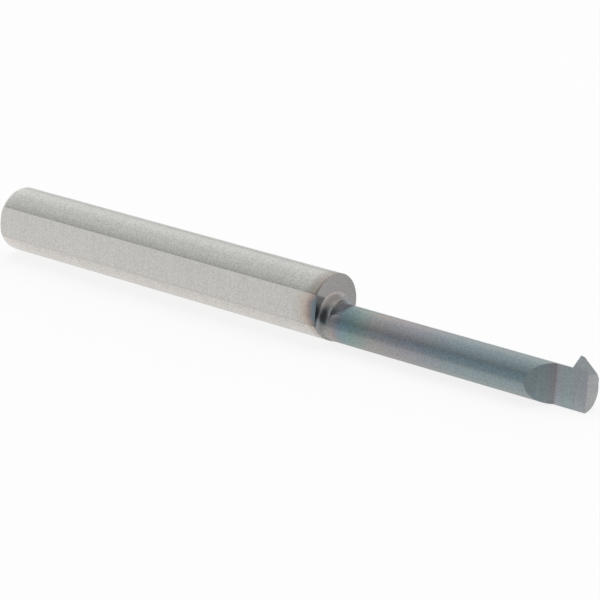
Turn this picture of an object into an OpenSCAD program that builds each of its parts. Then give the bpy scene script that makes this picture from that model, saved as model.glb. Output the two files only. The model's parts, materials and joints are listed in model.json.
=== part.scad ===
// Internal threading tool: a solid bar with a round shank, a clamping flat along it,
// a thinner neck set off to one side, and one pointed cutting tooth at the end of the neck.
// It lies as it rests: +X runs along the shank to the cutting end, the tooth points up
// and the flat faces -Y. The origin is the centre of the back end face.

/* [Shank] */
// Diameter of the round shank
shank_d = 6.35; // [5.6:0.05:8]
// Length from the back end to the shoulder
shank_len = 41.275; // [25:0.025:60]
// Depth of the clamping flat below the round
flat_depth = 0.38; // [0.1:0.02:0.6]
// Radius of the rounded edge at the back end
back_edge_r = 0.6; // [0.05:0.05:1]

/* [Neck] */
// Diameter of the neck
neck_d = 3.72; // [3:0.02:4.2]
// Length from the shoulder to the cutting end
neck_len = 28.575; // [15:0.025:40]
// Distance of the neck's round inside the shank's round where the two come closest
neck_inset = 0.02; // [0.01:0.01:0.3]
// Turn of the neck's offset from straight below the tooth toward the flat, in degrees
neck_turn = 4; // [0:1:10]
// Radius of the fillet between the shoulder and the neck
root_r = 0.92; // [0.3:0.02:1.2]

/* [Head] */
// Length of the rake face back from the cutting end
rake_len = 3.3; // [3:0.05:6]
// Slope of the ramp behind the rake face, in degrees
ramp_angle = 45; // [25:1:70]
// Radius in the corner between the rake face and the ramp
ramp_r = 0.3; // [0.05:0.05:0.8]

/* [Tooth] */
// Height of the crest above the neck
tooth_h = 1.3; // [0.6:0.05:1.5]
// Angle between the two flanks, in degrees
tooth_angle = 60; // [50:1:65]
// Width of the flat crest
crest_w = 0.1; // [0.02:0.01:0.3]
// Distance from the cutting end back to the middle of the crest
crest_setback = 0.93; // [0.5:0.01:1.2]
// Width of the first relief land behind the crest
land_w = 0.36; // [0.1:0.02:0.8]
// Relief angle of the land, in degrees
land_relief = 26; // [5:1:35]
// Clearance angle behind the land, in degrees
crest_relief = 56; // [40:1:58]
// Relief angle of each flank, in degrees
flank_relief = 3; // [1:1:6]
// Distance of the tooth's back inside the far side of the neck
heel_inset = 0.07; // [0.03:0.01:0.3]

/* [Hidden] */
$fn = 128;

shank_r = shank_d / 2;
neck_r = neck_d / 2;
// From the shank's axis to the flat and to the neck's axis
flat_dist = shank_r - flat_depth;
neck_off = shank_r - neck_r - neck_inset;
neck_y = -neck_off * sin(neck_turn);
neck_z = -neck_off * cos(neck_turn);
end_x = shank_len + neck_len;
// The rake face lies in the plane through the shank's axis and ends where the ramp's radius starts
rake_x = end_x - rake_len;
ramp_tangent = ramp_r * tan(ramp_angle / 2);
ramp_foot = rake_x - ramp_tangent;
crest_x = end_x - crest_setback;
crest_z = neck_z + neck_r + tooth_h;
land_z = crest_z - land_w * tan(land_relief);
heel_y = neck_y + neck_r - heel_inset;
heel_z = land_z - (heel_y - land_w) * tan(crest_relief);
// Reach of the cutting shapes, beyond every face of the bar
reach = 2 * shank_d;

// Turn about the shank's axis that brings the centre of mass to the bottom.
// Each moment is a volume times its offset from the axis: the flat and the rake cut take away.
flat_half = acos(flat_dist / shank_r);
flat_moment = 2 / 3 * pow(shank_r * sin(flat_half), 3) * shank_len;
neck_area = PI * pow(neck_r, 2);
cut_volume = neck_area / 2 * (rake_len + neck_r / tan(ramp_angle) / 2);
cut_centre = neck_y - 4 * neck_r / (3 * PI);
moment_y = flat_moment + neck_area * neck_len * neck_y - cut_volume * cut_centre;
moment_z = (neck_area * neck_len - cut_volume) * neck_z;
rest_roll = atan2(moment_y, -moment_z);

// Draws in the YZ plane and extrudes along +X
module along_x(length) {
    rotate([90, 0, 90])
        linear_extrude(length)
            children();
}

// Half of the outline of the round stock, from its axis outward, with its back edge rounded
module stock_outline() {
    difference() {
        square([shank_r, end_x]);
        difference() {
            translate([shank_r - back_edge_r, -back_edge_r])
                square(2 * back_edge_r);
            translate([shank_r - back_edge_r, back_edge_r])
                circle(back_edge_r);
        }
    }
}

// The round stock that the bar is ground from: nothing of the bar lies outside it
module stock() {
    rotate([0, 90, 0])
        rotate_extrude()
            stock_outline();
}

// Everything behind the shoulder, which keeps the stock's full round
module behind_shoulder() {
    translate([shank_len, -reach, -reach])
        mirror([1, 0, 0])
            cube([shank_len + reach, 2 * reach, 2 * reach]);
}

// Half of the neck's outline, from its axis outward, with the fillet at its root
module neck_outline() {
    square([neck_r, 2 * neck_len]);
    difference() {
        square([neck_r + root_r, root_r]);
        translate([neck_r + root_r, root_r])
            circle(root_r);
    }
}

// The neck's round, carried on beyond the cutting end, where the stock ends it
module neck() {
    translate([shank_len, neck_y, neck_z])
        rotate([0, 90, 0])
            rotate_extrude()
                neck_outline();
}

// What the grinding wheel takes at the flat, which also trims the root fillet
module flat_cut() {
    translate([-reach, -flat_dist - reach, -reach])
        cube([end_x + 2 * reach, reach, 2 * reach]);
}

// Everything outside one flank, seen from the crest's corner: -X is outward
module outside_flank() {
    rotate([0, tooth_angle / 2, 0])
        rotate([0, 0, -flank_relief])
            translate([-reach, -reach, -reach])
                cube([reach, 2 * reach, 2 * reach]);
}

// The tooth's body before the rake face is cut, with the reliefs behind its crest
module tooth() {
    difference() {
        translate([rake_x, 0, 0])
            along_x(2 * rake_len)
                polygon([
                    [-land_w, crest_z + land_w * tan(land_relief)],
                    [land_w, land_z],
                    [heel_y, heel_z],
                    [heel_y, neck_z],
                    [-land_w, neck_z]
                ]);
        translate([crest_x - crest_w / 2, 0, crest_z])
            outside_flank();
    }
}

// What the grinding wheel takes in front of the rake face, with the rounded foot of the ramp
module rake_cut() {
    ramp_run = reach / tan(ramp_angle);
    translate([0, 0, -reach])
        linear_extrude(2 * reach)
            difference() {
                polygon([
                    [ramp_foot, 0],
                    [end_x + reach, 0],
                    [end_x + reach, -reach],
                    [ramp_foot - ramp_run, -reach]
                ]);
                difference() {
                    polygon([
                        [ramp_foot, 0],
                        [rake_x, 0],
                        [rake_x, -ramp_r],
                        [ramp_foot - ramp_tangent * cos(ramp_angle), -ramp_tangent * sin(ramp_angle)]
                    ]);
                    translate([rake_x, -ramp_r])
                        circle(ramp_r);
                }
            }
}

module threading_bar() {
    color("silver")
        rotate([-rest_roll, 0, 0])
            difference() {
                intersection() {
                    stock();
                    union() {
                        behind_shoulder();
                        neck();
                        tooth();
                    }
                }
                flat_cut();
                rake_cut();
                translate([crest_x + crest_w / 2, 0, crest_z])
                    mirror([1, 0, 0])
                        outside_flank();
            }
}

threading_bar();
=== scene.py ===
"""Internal threading tool, dressed over its CAD frame.

The one piece, a ground carbide bar, is built again here with a finer mesh than the CAD node,
from the same sizes, so that its edges carry small radii and its rounds shade smoothly.
It is modelled in millimetres with the tooth up and the flat facing -Y, then rolled about
the shank's axis to the angle at which the bar rests, and scaled to metres.
"""
import json
import math

import bmesh
import bpy
from mathutils import Matrix, Vector


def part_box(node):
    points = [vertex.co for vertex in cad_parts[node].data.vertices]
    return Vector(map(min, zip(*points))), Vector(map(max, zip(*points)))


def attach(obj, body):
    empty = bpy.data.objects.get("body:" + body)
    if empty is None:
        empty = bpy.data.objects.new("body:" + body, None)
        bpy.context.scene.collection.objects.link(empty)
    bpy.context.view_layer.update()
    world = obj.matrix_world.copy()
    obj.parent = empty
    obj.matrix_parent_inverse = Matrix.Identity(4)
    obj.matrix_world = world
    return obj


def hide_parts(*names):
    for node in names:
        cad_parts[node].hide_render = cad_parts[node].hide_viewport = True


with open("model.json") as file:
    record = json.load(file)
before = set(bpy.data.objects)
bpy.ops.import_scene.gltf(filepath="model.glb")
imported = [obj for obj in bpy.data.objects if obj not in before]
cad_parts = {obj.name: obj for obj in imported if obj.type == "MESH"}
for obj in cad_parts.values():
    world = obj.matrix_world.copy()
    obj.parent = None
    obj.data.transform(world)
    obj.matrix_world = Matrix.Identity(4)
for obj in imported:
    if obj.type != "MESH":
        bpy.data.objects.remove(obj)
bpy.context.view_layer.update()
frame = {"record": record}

NODE = "threading_bar"
MM = 0.001

# ---- sizes read from the frame, in mm ----
LOW, HIGH = (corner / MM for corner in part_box(NODE))
MOUNTS = {mount["name"]: mount for mount in frame["record"]["mounts"]}
SHANK = MOUNTS["shank"]
FLAT = MOUNTS["set_screw_flat"]
SHANK_R = SHANK["dims"]["r_mm"]
SHANK_MID = SHANK["pos_m"][0] / MM
SHANK_LEN = SHANK_MID + SHANK["dims"]["length_mm"] / 2
BACK_EDGE_R = SHANK_MID - SHANK["dims"]["length_mm"] / 2
END_X = HIGH.x
FLAT_DIST = Vector((0, *FLAT["pos_m"][1:])).length / MM
REST_ROLL = math.atan2(FLAT["axis"][2], -FLAT["axis"][1])

# ---- sizes of the neck, head and tooth, as in the part's source, in mm ----
NECK_R = 1.86
NECK_INSET = 0.02
NECK_TURN = math.radians(4)
ROOT_R = 0.92
RAKE_LEN = 3.3
RAMP_ANGLE = math.radians(45)
RAMP_R = 0.3
TOOTH_H = 1.3
TOOTH_HALF = math.radians(30)
CREST_W = 0.1
CREST_SETBACK = 0.93
LAND_W = 0.36
LAND_RELIEF = math.radians(26)
CREST_RELIEF = math.radians(56)
FLANK_RELIEF = math.radians(3)
HEEL_INSET = 0.07

NECK_OFF = SHANK_R - NECK_R - NECK_INSET
NECK_Y = -NECK_OFF * math.sin(NECK_TURN)
NECK_Z = -NECK_OFF * math.cos(NECK_TURN)
NECK_TOP = NECK_Z + NECK_R
RAKE_X = END_X - RAKE_LEN
CREST_X = END_X - CREST_SETBACK
CREST_Z = NECK_TOP + TOOTH_H
HEEL_Y = NECK_Y + NECK_R - HEEL_INSET

# ---- mesh fineness ----
ROUND_STEPS = 360
NECK_STEPS = 288
ARC_STEPS = 20
# Reach of the cutting shapes, beyond every face of the bar
REACH = 4 * SHANK_R
# How far the blanks run past the faces that trim them, and the hair that keeps faces apart
OVERLAP = 1.0
SLIP = 0.001
# The edges that are rounded, and those that stay sharp where the rounding is shaded
EDGE_R = 0.035
EDGE_STEPS = 2
EDGE_ANGLE = math.radians(24)
SHARP_ANGLE = math.radians(40)
NORMAL_WEIGHT = 80


# ---------------------------------------------------------------- mesh helpers
def mesh_object(name, corners, faces):
    mesh = bpy.data.meshes.new(name)
    mesh.from_pydata(corners, [], faces)
    thing = bpy.data.objects.new(name, mesh)
    bpy.context.scene.collection.objects.link(thing)
    work = bmesh.new()
    work.from_mesh(mesh)
    bmesh.ops.recalc_face_normals(work, faces=work.faces)
    work.to_mesh(mesh)
    work.free()
    return thing


def on_circle(centre, radius, turn):
    return centre[0] + radius * math.cos(turn), centre[1] + radius * math.sin(turn)


def arc(centre, radius, first, last, steps):
    """Points (along, across) of an arc, its angles in degrees from the first axis."""
    turns = [math.radians(first + (last - first) * step / steps) for step in range(steps + 1)]
    return [on_circle(centre, radius, turn) for turn in turns]


def lathe(name, outline, steps, centre=(0, 0)):
    """A solid turned about an axis along X: outline is a list of (x, radius)."""
    turns = [2 * math.pi * step / steps for step in range(steps)]
    corners = [(x, *on_circle(centre, radius, turn)) for x, radius in outline for turn in turns]
    faces = []
    for ring in range(len(outline) - 1):
        for step in range(steps):
            a = ring * steps + step
            b = ring * steps + (step + 1) % steps
            faces.append((a, b, b + steps, a + steps))
    faces.append(tuple(range(steps)))
    faces.append(tuple(range((len(outline) - 1) * steps, len(outline) * steps)))
    return mesh_object(name, corners, faces)


def prism(name, outline, start, along):
    """A flat outline of 3D points from start, carried on by the vector along."""
    count = len(outline)
    near = [Vector(start) + Vector(point) for point in outline]
    corners = [tuple(p) for p in near] + [tuple(p + Vector(along)) for p in near]
    faces = [tuple(range(count)), tuple(range(count, 2 * count))]
    for step in range(count):
        following = (step + 1) % count
        faces.append((step, following, following + count, step + count))
    return mesh_object(name, corners, faces)


def evaluated(thing):
    """Replaces an object's mesh by the one its modifiers make."""
    graph = bpy.context.evaluated_depsgraph_get()
    mesh = bpy.data.meshes.new_from_object(thing.evaluated_get(graph))
    thing.modifiers.clear()
    thing.data = mesh


def combine(thing, other, operation):
    step = thing.modifiers.new("combine", "BOOLEAN")
    step.operation = operation
    step.solver = "EXACT"
    step.object = other
    evaluated(thing)
    bpy.data.objects.remove(other)


# ---------------------------------------------------------------- the bar's form, in mm
def shank_section():
    """The round with its flat, along the whole bar."""
    half = math.acos(FLAT_DIST / SHANK_R)
    round_turn = 2 * math.pi - 2 * half
    outline = []
    for step in range(ROUND_STEPS + 1):
        turn = math.pi + half + round_turn * step / ROUND_STEPS
        outline.append((0, *on_circle((0, 0), SHANK_R, turn)))
    return prism("section", outline, (0, 0, 0), (END_X, 0, 0))


def shank_blank():
    """Oversize in radius: the section trims it. Its back edge is rounded."""
    edge = arc((BACK_EDGE_R, SHANK_R + SLIP - BACK_EDGE_R), BACK_EDGE_R, 180, 90, ARC_STEPS)
    outline = edge + [(BACK_EDGE_R + SLIP, SHANK_R + OVERLAP), (SHANK_LEN, SHANK_R + OVERLAP)]
    return lathe("shank", outline, ROUND_STEPS)


def neck_blank():
    """From inside the shank, with the fillet at its root, to beyond the cutting end."""
    fillet = arc((SHANK_LEN + ROOT_R - SLIP, NECK_R + ROOT_R), ROOT_R, 180, 270, 2 * ARC_STEPS)
    outline = [(SHANK_LEN - OVERLAP, NECK_R + ROOT_R)] + fillet + [(END_X + OVERLAP, NECK_R)]
    return lathe("neck", outline, NECK_STEPS, (NECK_Y, NECK_Z))


def outside_flank(side):
    """Everything beyond one flank: side is -1 toward the shank, 1 toward the cutting end."""
    block = [(0, -REACH, -REACH), (0, REACH, -REACH), (0, REACH, REACH), (0, -REACH, REACH)]
    cutter = prism("flank", block, (0, 0, 0), (side * REACH, 0, 0))
    slope = Matrix.Rotation(-side * TOOTH_HALF, 4, "Y")
    relief = Matrix.Rotation(side * FLANK_RELIEF, 4, "Z")
    place = Matrix.Translation((CREST_X + side * CREST_W / 2, 0, CREST_Z))
    cutter.data.transform(place @ (slope @ relief))
    return cutter


def tooth_blank():
    """The tooth's body with the reliefs behind its crest and the flank toward the shank."""
    land_z = CREST_Z - LAND_W * math.tan(LAND_RELIEF)
    heel_z = land_z - (HEEL_Y - LAND_W) * math.tan(CREST_RELIEF)
    outline = [
        (0, -LAND_W, CREST_Z + LAND_W * math.tan(LAND_RELIEF)),
        (0, LAND_W, land_z),
        (0, HEEL_Y, heel_z),
        (0, HEEL_Y, NECK_Z),
        (0, -LAND_W, NECK_Z),
    ]
    tooth = prism("tooth", outline, (RAKE_X, 0, 0), (RAKE_LEN + OVERLAP, 0, 0))
    combine(tooth, outside_flank(-1), "DIFFERENCE")
    return tooth


def rake_cut():
    """What the wheel takes in front of the rake face, with the rounded foot of the ramp."""
    foot = arc((RAKE_X, -RAMP_R), RAMP_R, 90, 90 + math.degrees(RAMP_ANGLE), ARC_STEPS)
    top_x, top_y = foot[-1]
    far_y = top_y - REACH
    far_x = top_x - REACH / math.tan(RAMP_ANGLE)
    outline = [(END_X + REACH, 0), *foot, (far_x, far_y), (END_X + REACH, far_y)]
    return prism("rake", [(x, y, 0) for x, y in outline], (0, 0, -REACH), (0, 0, 2 * REACH))


def bar_form():
    bar = shank_blank()
    combine(bar, neck_blank(), "UNION")
    combine(bar, tooth_blank(), "UNION")
    combine(bar, shank_section(), "INTERSECT")
    combine(bar, rake_cut(), "DIFFERENCE")
    combine(bar, outside_flank(1), "DIFFERENCE")
    return bar


# ---------------------------------------------------------------- shader nodes
# The sockets of a Map Range node's limits on vectors, whose names those on numbers have too
VECTOR_LIMITS = (7, 8, 9, 10)


class Nodes:
    """A node tree, with short calls for the nodes that the surfaces and the tent share."""

    def __init__(self, tree):
        self.tree = tree

    def feed(self, node, values):
        """Joins outputs of other nodes to a node's sockets, or sets them to plain values."""
        for socket, value in values.items():
            if isinstance(value, bpy.types.NodeSocket):
                self.tree.links.new(value, node.inputs[socket])
            else:
                node.inputs[socket].default_value = value

    def node(self, kind, values=None, **settings):
        made = self.tree.nodes.new(kind)
        for name, value in settings.items():
            setattr(made, name, value)
        self.feed(made, values or {})
        return made

    def axis(self, place, name):
        return self.node("ShaderNodeSeparateXYZ", {0: place}).outputs[name]

    def math(self, operation, *values):
        made = self.node("ShaderNodeMath", dict(enumerate(values)), operation=operation)
        return made.outputs[0]

    def vector_math(self, operation, values):
        return self.node("ShaderNodeVectorMath", values, operation=operation).outputs

    def weighted(self, *terms):
        """The sum of values, each times its own factor."""
        total = 0.0
        for value, factor in terms:
            total = self.math("MULTIPLY_ADD", value, factor, total)
        return total

    def spread(self, value, source_range, target_range, kind="LINEAR"):
        """A value carried from one range over to another, and held at its ends."""
        names = ("From Min", "From Max", "To Min", "To Max")
        values = dict(zip(names, (*source_range, *target_range)), Value=value)
        made = self.node("ShaderNodeMapRange", values, interpolation_type=kind)
        return made.outputs["Result"]


class Surface(Nodes):
    """A material's nodes. Places and distances are in metres, what the calls are given in mm."""

    def __init__(self, name):
        self.material = bpy.data.materials.new(name)
        self.material.use_nodes = True
        super().__init__(self.material.node_tree)
        self.shader = self.tree.nodes["Principled BSDF"]
        self.place = self.node("ShaderNodeTexCoord").outputs["Object"]

    def along(self, name):
        """The place along an axis."""
        return self.axis(self.place, name)

    def scaled(self, scale):
        """The place times a scale along each axis."""
        return self.vector_math("MULTIPLY", {0: self.place, 1: scale})["Vector"]

    def off_height(self, height):
        """How far a point is above or below a height."""
        return self.math("ABSOLUTE", self.math("SUBTRACT", self.along("Z"), height * MM))

    def off_place(self, x, height):
        """How far a point is from a place along X and Z, whatever its Y."""
        place = (x * MM, 0, height * MM)
        return self.vector_math("DISTANCE", {0: self.scaled((1, 0, 1)), 1: place})["Value"]

    def noise(self, sizes, detail, rough):
        """Noise whose patches have about these sizes along each axis."""
        place = self.scaled([1 / (size * MM) for size in sizes])
        values = {"Vector": place, "Scale": 1.0, "Detail": detail, "Roughness": rough}
        return self.node("ShaderNodeTexNoise", values).outputs["Fac"]

    def ramp(self, value, stops):
        """Colours at places along the bar."""
        made = self.node("ShaderNodeValToRGB")
        elements = made.color_ramp.elements
        while len(elements) > 1:
            elements.remove(elements[-1])
        start, end = stops[0][0], stops[-1][0]
        for number, (place, colour) in enumerate(stops):
            at = (place - start) / (end - start)
            element = elements[0] if number == 0 else elements.new(at)
            element.position = at
            element.color = (*colour, 1)
        self.feed(made, {"Fac": self.spread(value, (start * MM, end * MM), (0, 1))})
        return made.outputs["Color"]

    def paint_light(self, colour, distance, start, end, tint):
        """Paints light and shade: a colour that a tint multiplies more and more as a distance
        goes from start to end.
        """
        limits = ((start * MM,) * 3, (end * MM,) * 3, (1, 1, 1), tint)
        values = {"Vector": distance, **dict(zip(VECTOR_LIMITS, limits))}
        share = self.node("ShaderNodeMapRange", values, data_type="FLOAT_VECTOR")
        return self.vector_math("MULTIPLY", {0: colour, 1: share.outputs["Vector"]})["Vector"]

    def lit(self, colour, factor):
        """A colour made lighter or darker by a value."""
        return self.vector_math("SCALE", {0: colour, "Scale": factor})["Vector"]


# ---------------------------------------------------------------- the metal's colours
def plain(colour):
    """One colour all along the bar."""
    return [(0.0, colour), (END_X, colour)]


# Colours by the place along X, in mm. The bare ground carbide of the shank and its flat
# is tinted just behind the shoulder, where the coating ends.
ROUND = [
    (0.0, (0.690, 0.680, 0.650)),
    (1.2, (0.640, 0.630, 0.605)),
    (3.0, (0.612, 0.604, 0.578)),
    (20.0, (0.602, 0.593, 0.566)),
    (SHANK_LEN - 1.5, (0.585, 0.577, 0.551)),
    (SHANK_LEN - 0.9, (0.455, 0.425, 0.392)),
    (SHANK_LEN - 0.5, (0.435, 0.395, 0.362)),
    (SHANK_LEN - 0.14, (0.340, 0.305, 0.280)),
    (SHANK_LEN - 0.04, (0.215, 0.185, 0.170)),
]
FLAT_GROUND = [
    (0.0, (0.826, 0.808, 0.775)),
    (12.0, (0.812, 0.792, 0.758)),
    (20.0, (0.782, 0.770, 0.736)),
    (SHANK_LEN - 6.0, (0.772, 0.755, 0.722)),
    (SHANK_LEN - 3.0, (0.770, 0.750, 0.720)),
    (SHANK_LEN - 1.9, (0.700, 0.660, 0.600)),
    (SHANK_LEN - 1.3, (0.640, 0.550, 0.480)),
    (SHANK_LEN - 0.75, (0.390, 0.330, 0.320)),
    (SHANK_LEN - 0.45, (0.250, 0.280, 0.305)),
    (SHANK_LEN - 0.1, (0.185, 0.255, 0.290)),
]
SHOULDER = plain((0.298, 0.291, 0.286))
# The coating, from the shoulder to the cutting end. Its first stops, across the root fillet,
# paint a light outer ring with painted shade inside it, standing in for reflections.
NECK = [
    (SHANK_LEN, (0.335, 0.342, 0.345)),
    (SHANK_LEN + 0.08, (0.305, 0.316, 0.316)),
    (SHANK_LEN + 0.17, (0.250, 0.261, 0.262)),
    (SHANK_LEN + 0.75, (0.302, 0.308, 0.300)),
    (SHANK_LEN + 1.2, (0.315, 0.292, 0.294)),
    (SHANK_LEN + 1.7, (0.275, 0.275, 0.305)),
    (SHANK_LEN + 2.1, (0.224, 0.280, 0.320)),
    (SHANK_LEN + 2.7, (0.204, 0.300, 0.325)),
    (SHANK_LEN + 4.0, (0.230, 0.312, 0.300)),
    (SHANK_LEN + 6.0, (0.315, 0.315, 0.315)),
    (SHANK_LEN + 10.0, (0.300, 0.305, 0.335)),
    (SHANK_LEN + 15.0, (0.255, 0.315, 0.338)),
    (END_X, (0.250, 0.315, 0.333)),
]
# The head's ground faces, whose tint runs in bands from the ramp
RAMP = [
    (RAKE_X - 2.0, (0.235, 0.285, 0.305)),
    (RAKE_X - 0.9, (0.235, 0.285, 0.305)),
    (RAKE_X - 0.28, (0.238, 0.250, 0.268)),
    (RAKE_X - 0.18, (0.268, 0.268, 0.285)),
    (RAKE_X - 0.08, (0.325, 0.325, 0.345)),
    (RAKE_X, (0.310, 0.308, 0.328)),
]
RAKE = [
    (RAKE_X, (0.310, 0.290, 0.326)),
    (RAKE_X + 0.2, (0.337, 0.365, 0.395)),
    (RAKE_X + 1.2, (0.315, 0.380, 0.390)),
    (RAKE_X + 2.0, (0.340, 0.378, 0.398)),
    (END_X, (0.352, 0.373, 0.402)),
]
TOOTH = [(RAKE_X, (0.330, 0.365, 0.380)), (END_X, (0.340, 0.370, 0.380))]
END = plain((0.328, 0.335, 0.342))

# Painted light and shade by height, standing in for reflections: (height, start, end, tint), in
# mm from the shank's axis. A tint comes in as the distance from its height goes from start to
# end.
FLAT_MIDDLE = FLAT_DIST * math.sin(REST_ROLL)
FLAT_HALF = math.sqrt(SHANK_R ** 2 - FLAT_DIST ** 2)
FLAT_LOW = FLAT_MIDDLE - FLAT_HALF * math.cos(REST_ROLL)
# Painted light and shade round the shank: a warmer lower part, darker top and bottom, lighter
# bands near the top
ROUND_PAINTED_LIGHT = [
    (SHANK_R, 3.5, 4.2, (1.025, 0.985, 0.970)),
    (0.0, 1.4, 2.3, (0.95, 0.96, 0.96)),
    (2.5, 0.4, 0.2, (1.07, 1.08, 1.07)),
    (SHANK_R, 0.08, 0.02, (1.05, 1.05, 1.05)),
]
# Painted shade along the flat's low edge
FLAT_PAINTED_SHADE = [(FLAT_LOW, 0.25, 0.1, (0.96, 0.93, 0.93))]
# Painted light and shade in bands round the neck, with painted shade along its foot and a
# painted highlight along its top
NECK_PAINTED_LIGHT = [
    (0.0, 1.0, 1.6, (1.04, 1.0, 0.97)),
    (0.0, 1.5, 2.2, (0.93, 0.91, 0.89)),
    (0.0, 2.15, 2.5, (0.78, 0.78, 0.79)),
    (-0.45, 0.38, 0.12, (0.98, 1.08, 1.15)),
    (-0.79, 0.22, 0.08, (0.93, 0.94, 0.95)),
    (-0.12, 0.16, 0.06, (0.95, 0.97, 0.98)),
    (SHANK_R, 2.61, 2.56, (1.18, 1.08, 1.04)),
]
# Painted light toward the tooth's crest
RAKE_PAINTED_HIGHLIGHT = [(CREST_Z, 1.3, 0.9, (1.13, 1.14, 1.13))]
# Painted light toward the foot of the end face
END_PAINTED_LIGHT = [(NECK_Z - NECK_R, 1.9, 1.2, (1.02, 1.02, 1.02))]
# Painted reflections, highlights and shade around places on the neck and its root: (x, height,
# start, end, tint)
NECK_PAINTED_REFLECTIONS = [
    (SHANK_LEN + 1.2, NECK_TOP - 0.12, 0.75, 0.4, (1.50, 1.66, 1.74)),
    (SHANK_LEN + 1.9, NECK_TOP, 0.6, 0.2, (1.10, 1.14, 1.14)),
    (SHANK_LEN + 1.9, -0.05, 0.7, 0.3, (0.92, 0.91, 0.90)),
    (SHANK_LEN + 2.9, NECK_TOP, 1.1, 0.4, (0.94, 0.91, 0.91)),
    (SHANK_LEN + 0.55, -0.15, 0.9, 0.4, (0.86, 0.86, 0.87)),
    (SHANK_LEN + 0.5, -2.2, 0.9, 0.4, (1.12, 1.14, 1.15)),
]
# How the tint behind the shoulder bends back away from a height: (height, start, end, amount)
ROUND_BEND = (1.5, 1.0, 3.0, 0.7)
FLAT_BEND = (FLAT_MIDDLE, 0.5, 1.45, 0.5)

# Each surface's material, as ground() takes it
FINISHES = {
    "ground_round": dict(
        stops=ROUND, rough=0.27, lines=(0.05, 3.0, 0.0003, 0.06), specks=0.20,
        painted_light_by_height=ROUND_PAINTED_LIGHT, bend=ROUND_BEND),
    "ground_flat": dict(
        stops=FLAT_GROUND, rough=0.24, lines=(0.06, 6.0, 0.0005, 0.06), specks=0.12,
        painted_light_by_height=FLAT_PAINTED_SHADE, bend=FLAT_BEND),
    "ground_shoulder": dict(
        stops=SHOULDER, rough=0.14, lines=(0.05, 2.0, 0.0002, 0.05), specks=0.16),
    "coated_neck": dict(
        stops=NECK, rough=0.22, lines=(0.05, 3.0, 0.0004, 0.05), specks=0.17,
        painted_light_by_height=NECK_PAINTED_LIGHT, painted_light_at_places=NECK_PAINTED_REFLECTIONS),
    "coated_ramp": dict(
        stops=RAMP, rough=0.30, lines=(0.05, 2.0, 0.0004, 0.06), specks=0.14),
    "coated_rake": dict(
        stops=RAKE, rough=0.24, lines=(0.05, 3.0, 0.0003, 0.06), specks=0.14,
        painted_light_by_height=RAKE_PAINTED_HIGHLIGHT),
    "coated_tooth": dict(
        stops=TOOTH, rough=0.24, lines=(0.05, 3.0, 0.0003, 0.05), specks=0.14),
    "coated_end": dict(
        stops=END, rough=0.20, lines=(0.05, 2.0, 0.0002, 0.04), specks=0.12,
        painted_light_by_height=END_PAINTED_LIGHT),
}

# Among the fine grinding lines run broader ones: how much wider and longer, and their share
BROAD_PITCH = 6
BROAD_LENGTH = 4
BROAD_SHARE = 0.6
# Sizes of the cloudy patches and of the fine specks, in mm
CLOUD = 3.0
SPECK = 0.16
# The part of each noise's range that is used, and how much the roughness varies
LINES_RANGE = (0.7, 1.3)
SPECK_RANGE = (0.3, 0.7)
CLOUD_RANGE = (0.4, 1.1)
CLOUD_SHARE = 0.5
ROUGH_VARIES = 0.04


def grind_lines(surface, pitch, length):
    """Fine lines round the bar: close together along X and long across it."""
    return surface.noise((pitch, length, length), detail=4.0, rough=0.65)


def grains(surface, size):
    return surface.noise((size, size, size), detail=2.0, rough=0.55)


def ground(name, stops, rough, lines, specks, painted_light_by_height=(), painted_light_at_places=(), bend=None):
    """Metal ground in lines round the bar, its colours set along X.

    lines is (pitch, length, depth) in mm and how much they lighten and darken the colour.
    specks is how much the fine specks lighten and darken it.
    """
    surface = Surface(name)
    pitch, length, depth, contrast = lines
    fine = grind_lines(surface, pitch, length)
    broad = grind_lines(surface, pitch * BROAD_PITCH, length * BROAD_LENGTH)
    cloud = grains(surface, CLOUD)
    place = surface.along("X")
    if bend:
        height, start, end, amount = bend
        moved = surface.spread(
            surface.off_height(height), (start * MM, end * MM), (0, -amount * MM), "SMOOTHSTEP")
        place = surface.math("ADD", place, moved)
    colour = surface.ramp(place, stops)
    # Painted light and shade: bands by height and patches round given places, standing in for
    # reflections
    for height, *tint in painted_light_by_height:
        colour = surface.paint_light(colour, surface.off_height(height), *tint)
    for x, height, *tint in painted_light_at_places:
        colour = surface.paint_light(colour, surface.off_place(x, height), *tint)
    both = surface.math("ADD", fine, broad)
    colour = surface.lit(colour, surface.spread(both, LINES_RANGE, (1 - contrast, 1 + contrast)))
    speck = surface.spread(grains(surface, SPECK), SPECK_RANGE, (1 - specks, 1 + specks))
    colour = surface.lit(colour, speck)
    patches = surface.math("MULTIPLY_ADD", fine, CLOUD_SHARE, cloud)
    rough_limits = (rough - ROUGH_VARIES, rough + ROUGH_VARIES)
    relief = surface.math("MULTIPLY_ADD", broad, BROAD_SHARE, fine)
    bump = surface.node(
        "ShaderNodeBump", {"Strength": 1.0, "Distance": depth * MM, "Height": relief})
    surface.feed(surface.shader, {
        "Normal": bump.outputs["Normal"],
        "Base Color": colour,
        "Roughness": surface.spread(patches, CLOUD_RANGE, rough_limits),
        "Metallic": 1.0,
    })
    return surface.material


# ---------------------------------------------------------------- the finished bar
# How squarely a face looks along an axis, and how near it lies, when it is on a flat surface
SQUARE = 0.9999
NEAR = 5 * SLIP
# The tooth's faces look up or along the bar at least this much, unlike the neck beside them
TOOTH_SLOPE = 0.3
# The ramp and its rounded foot look toward the cutting end, and neither up nor down
RAMP_SLOPE = 0.02
UPRIGHT = 0.001


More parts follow.
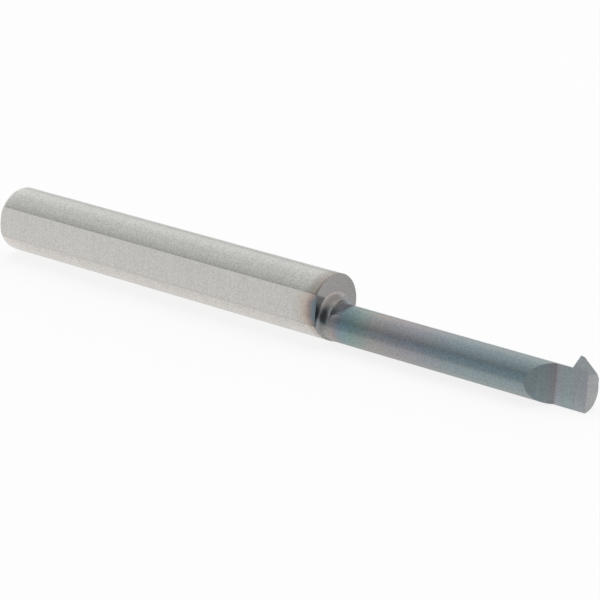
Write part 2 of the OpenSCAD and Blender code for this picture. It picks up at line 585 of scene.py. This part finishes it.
def region(face):
    """The finish of the surface a face belongs to, by its place and its direction."""
    middle, normal = face.calc_center_median(), face.normal
    if middle.x < SHANK_LEN - NEAR:
        return "ground_flat" if normal.y < -SQUARE else "ground_round"
    if middle.x < SHANK_LEN + NEAR and normal.x > SQUARE:
        return "ground_shoulder"
    if middle.x > RAKE_X and normal.y < -SQUARE:
        return "coated_rake"
    if middle.x > END_X - NEAR:
        return "coated_end"
    above_neck = middle.x > RAKE_X and middle.z > NECK_Z + NECK_R / 2
    if above_neck and max(abs(normal.x), normal.z) > TOOTH_SLOPE:
        return "coated_tooth"
    toward_end = normal.x > RAMP_SLOPE and abs(normal.z) < UPRIGHT and normal.y < 0
    if middle.x > RAKE_X - NECK_R * 2 and toward_end:
        return "coated_ramp"
    return "coated_neck"


def dress(bar):
    for name, finish in FINISHES.items():
        bar.data.materials.append(ground(name, **finish))
    names = list(FINISHES)
    work = bmesh.new()
    work.from_mesh(bar.data)
    for face in work.faces:
        face.material_index = names.index(region(face))
        face.smooth = True
    work.to_mesh(bar.data)
    work.free()


def soften(bar):
    """Rounds every edge by a hair, as grinding leaves it, and shades the rounds smoothly."""
    round_off = bar.modifiers.new("edges", "BEVEL")
    round_off.width = EDGE_R
    round_off.segments = EDGE_STEPS
    round_off.limit_method = "ANGLE"
    round_off.angle_limit = EDGE_ANGLE
    round_off.use_clamp_overlap = True
    round_off.miter_outer = "MITER_ARC"
    evaluated(bar)
    bar.data.set_sharp_from_angle(angle=SHARP_ANGLE)
    weigh = bar.modifiers.new("normals", "WEIGHTED_NORMAL")
    weigh.keep_sharp = True
    weigh.weight = NORMAL_WEIGHT
    evaluated(bar)


def build_bar():
    bar = bar_form()
    bar.name = "ground_bar"
    dress(bar)
    soften(bar)
    bar.data.transform(Matrix.Scale(MM, 4) @ Matrix.Rotation(-REST_ROLL, 4, "X"))
    bar.data.name = "ground_bar"
    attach(bar, "root")
    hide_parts(NODE)


# ---------------------------------------------------------------- camera, floor and light
# Fitted to the photograph: the place in metres, the lens and sensor in mm
CAMERA_AT = Vector((0.205578, -0.188110, 0.114268))
CAMERA_AZIMUTH = math.radians(41.8589)
CAMERA_ELEVATION = math.radians(24.4074)
CAMERA_ROLL = math.radians(-4.3964)
CAMERA_LENS = 177.79
SENSOR = 36.0


def make_camera():
    data = bpy.data.cameras.new("camera")
    data.lens = CAMERA_LENS
    data.sensor_width = SENSOR
    camera = bpy.data.objects.new("camera", data)
    turn = Matrix.Rotation(CAMERA_AZIMUTH, 4, "Z")
    tip = Matrix.Rotation(math.pi / 2 - CAMERA_ELEVATION, 4, "X")
    roll = Matrix.Rotation(CAMERA_ROLL, 4, "Z")
    camera.matrix_world = Matrix.Translation(CAMERA_AT) @ turn @ tip @ roll
    bpy.context.scene.collection.objects.link(camera)
    bpy.context.scene.camera = camera


FLOOR_SIZE = 6.0
FLOOR_COLOUR = (0.82, 0.82, 0.82)
FLOOR_ROUGH = 0.9
# How far the floor turns to plain white for the camera, which lightens the shadow but keeps it,
# and how bright that white is
FLOOR_WHITE = 0.80
FLOOR_SEEN = 1.056
# The floor that the bar mirrors is darker further off on the flat's side: place along Y, level
FLOOR_NEAR = (-0.0030, 0.98)
FLOOR_FAR = (-0.014, 0.70)
# Its shadow under the bar: distance from the line where they touch, level
FLOOR_TOUCH = (0.0008, 0.55)
FLOOR_CLEAR = (0.0018, 1.0)


def bar_shadow(surface):
    """How light the floor is beside the line where the bar touches it, and beyond its ends."""
    half = END_X / 2 * MM
    distances, levels = zip(FLOOR_TOUCH, FLOOR_CLEAR)
    aside = surface.spread(surface.math("ABSOLUTE", surface.along("Y")), distances, levels)
    from_middle = surface.math("ABSOLUTE", surface.math("SUBTRACT", surface.along("X"), half))
    beyond = surface.spread(from_middle, (half - MM, half), levels)
    return surface.math("MAXIMUM", aside, beyond)


def make_floor():
    """A matte floor that the camera sees nearly white, and that the bar mirrors as painted."""
    half = FLOOR_SIZE / 2
    low = LOW.z * MM
    corners = [(-half, -half, low), (half, -half, low), (half, half, low), (-half, half, low)]
    floor = mesh_object("floor", corners, [(0, 1, 2, 3)])
    surface = Surface("pale_floor")
    matte = surface.shader
    surface.feed(matte, {
        "Base Color": (*FLOOR_COLOUR, 1),
        "Roughness": FLOOR_ROUGH,
        "Specular IOR Level": 0.0,
    })
    path = surface.node("ShaderNodeLightPath").outputs
    camera, glossy = path["Is Camera Ray"], path["Is Glossy Ray"]
    distances, levels = zip(FLOOR_FAR, FLOOR_NEAR)
    mirrored = surface.spread(surface.along("Y"), distances, levels)
    mirrored = surface.math("MULTIPLY", mirrored, bar_shadow(surface))
    share = surface.math("MULTIPLY", mirrored, glossy)
    strength = surface.weighted((camera, FLOOR_SEEN), (share, 1.0))
    white = surface.node("ShaderNodeEmission", {"Strength": strength})
    blend = surface.node("ShaderNodeMixShader", {
        "Fac": surface.weighted((camera, FLOOR_WHITE), (glossy, 1.0)),
        1: matte.outputs[0],
        2: white.outputs[0],
    })
    surface.feed(surface.tree.nodes["Material Output"], {"Surface": blend.outputs[0]})
    floor.data.materials.append(surface.material)


# The tent's openings, where it is darker: direction, level, and the angles from its middle
# at which it starts to lighten and at which it is gone
OPENINGS = [
    ((-0.608, -0.666, 0.432), 0.40, (0, 66)),
    ((0.629, -0.698, 0.342), 0.13, (34, 80)),
    ((0.608, 0.666, 0.432), 0.66, (0, 72)),
    ((0.0, 0.0, 1.0), 0.55, (10, 40)),
    ((-0.61, 0.79, 0.0), 0.50, (2, 14)),
]
TENT_LEVEL = 0.97
# Near the horizon the tent's walls are a little darker than its roof
WALL_LEVEL = 0.92
WALL_TOP = math.sin(math.radians(24))


def tent_level(tent, place):
    """How light the tent is in each direction, where the darkest opening counts."""
    level = TENT_LEVEL
    for direction, darkest, edges in OPENINGS:
        middle = Vector(direction).normalized()
        toward = tent.vector_math("DOT_PRODUCT", {0: place, 1: middle})["Value"]
        edges = [math.radians(edge) for edge in edges]
        here = tent.spread(tent.math("ARCCOSINE", toward), edges, (darkest, TENT_LEVEL))
        level = tent.math("MINIMUM", level, here)
    return level


def make_world():
    """A light tent: pale all round, with softer, darker openings. The camera sees it white."""
    world = bpy.data.worlds.new("tent")
    world.use_nodes = True
    bpy.context.scene.world = world
    tent = Nodes(world.node_tree)
    place = tent.node("ShaderNodeTexCoord").outputs["Generated"]
    wall = tent.spread(tent.axis(place, "Z"), (0, WALL_TOP), (WALL_LEVEL, 1), "SMOOTHSTEP")
    level = tent.math("MULTIPLY", tent_level(tent, place), wall)
    camera = tent.node("ShaderNodeLightPath").outputs["Is Camera Ray"]
    seen = tent.node("ShaderNodeMix", {0: camera, 2: level, 3: 1.0}, data_type="FLOAT")
    background = tent.tree.nodes["Background"]
    tent.feed(background, {"Color": (1, 1, 1, 1), "Strength": seen.outputs[0]})


LAMP_AIM = Vector(((LOW.x + HIGH.x) / 2 * MM, 0, 0))
LAMP_AT = LAMP_AIM + Vector((0, 0.12, 0.6))
LAMP_SIZE = (0.6, 0.4)
LAMP_POWER = 1.2


def make_lamp():
    """A wide soft lamp above the bar, which the metal doesn't mirror."""
    data = bpy.data.lights.new("overhead", "AREA")
    data.shape = "RECTANGLE"
    data.size, data.size_y = LAMP_SIZE
    data.energy = LAMP_POWER
    lamp = bpy.data.objects.new("overhead", data)
    lamp.visible_glossy = False
    turn = (LAMP_AIM - LAMP_AT).to_track_quat("-Z", "Y").to_matrix().to_4x4()
    lamp.matrix_world = Matrix.Translation(LAMP_AT) @ turn
    bpy.context.scene.collection.objects.link(lamp)


make_camera()
build_bar()
make_floor()
make_world()
make_lamp()
bpy.context.scene.view_settings.view_transform = "Standard"
